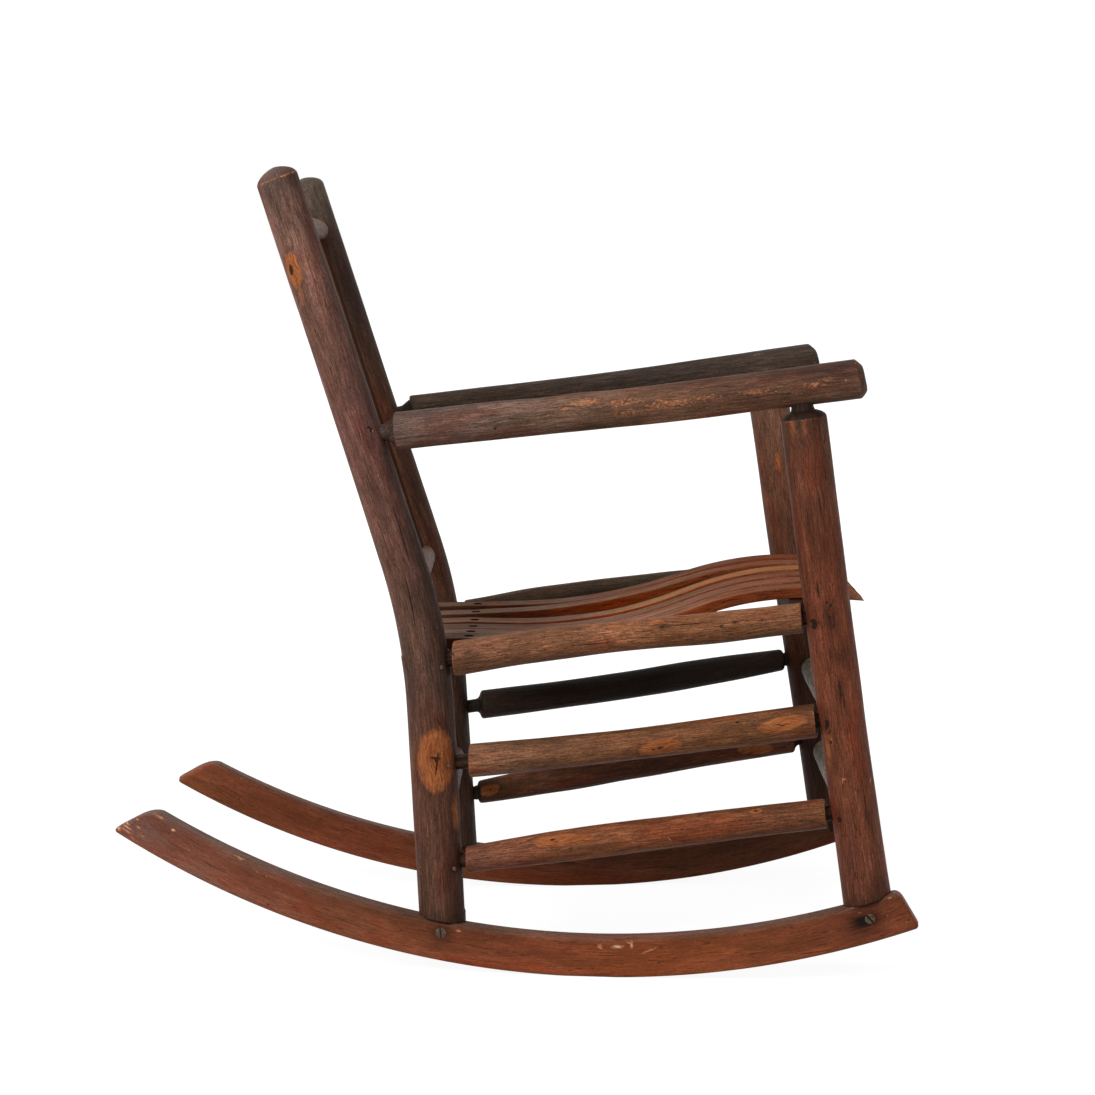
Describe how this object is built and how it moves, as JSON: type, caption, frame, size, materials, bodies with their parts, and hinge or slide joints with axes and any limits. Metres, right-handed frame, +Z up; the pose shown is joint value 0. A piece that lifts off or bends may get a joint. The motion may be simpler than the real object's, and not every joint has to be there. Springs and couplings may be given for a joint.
{
  "type": "hickory rocking chair",
  "caption": "Rustic pole-built rocking chair with bent rear posts, round arms, a wavy slatted seat, a slatted back and curved runners.",
  "frame": {"origin": "on the floor, at the middle of the chair's outer box, midway between the runners", "axes": "+X to the front of the seat, +Y to the sitter's left, +Z up"},
  "size_m": [0.8892, 0.5756, 0.8903],
  "materials": {
    "pole_wood": "dark oiled hickory pole, aged satin varnish",
    "runner_wood": "dark stained board, satin varnish, worn edges",
    "slat_wood": "dark stained slat, worn satin varnish",
    "batten_wood": "dark stained, dull",
    "screw_steel": "darkened steel, slotted",
    "nail_steel": "darkened steel"
  },
  "bodies": {
    "root": {"rear_post_right": "pole_wood", "rear_post_left": "pole_wood", "front_post_right": "pole_wood", "front_post_left": "pole_wood", "arm_right": "pole_wood", "arm_left": "pole_wood", "rocker_right": "runner_wood", "rocker_left": "runner_wood", "seat_side_rail_right": "pole_wood", "seat_side_rail_left": "pole_wood", "upper_side_stretcher_right": "pole_wood", "upper_side_stretcher_left": "pole_wood", "lower_side_stretcher_right": "pole_wood", "lower_side_stretcher_left": "pole_wood", "front_seat_rail": "pole_wood", "rear_seat_rail": "pole_wood", "front_upper_stretcher": "pole_wood", "front_lower_stretcher": "pole_wood", "rear_stretcher": "pole_wood", "back_top_rail": "pole_wood", "back_lower_rail": "pole_wood", "back_slat_1": "slat_wood", "back_slat_2": "slat_wood", "back_slat_3": "slat_wood", "back_slat_4": "slat_wood", "back_slat_5": "slat_wood", "seat_slat_1": "slat_wood", "seat_slat_2": "slat_wood", "seat_slat_3": "slat_wood", "seat_slat_4": "slat_wood", "seat_slat_5": "slat_wood", "seat_slat_6": "slat_wood", "seat_batten_front": "batten_wood", "seat_batten_rear": "batten_wood", "seat_slat_screws": "screw_steel", "rocker_screws": "screw_steel", "joint_nails": "nail_steel"}
  },
  "joints": []
}
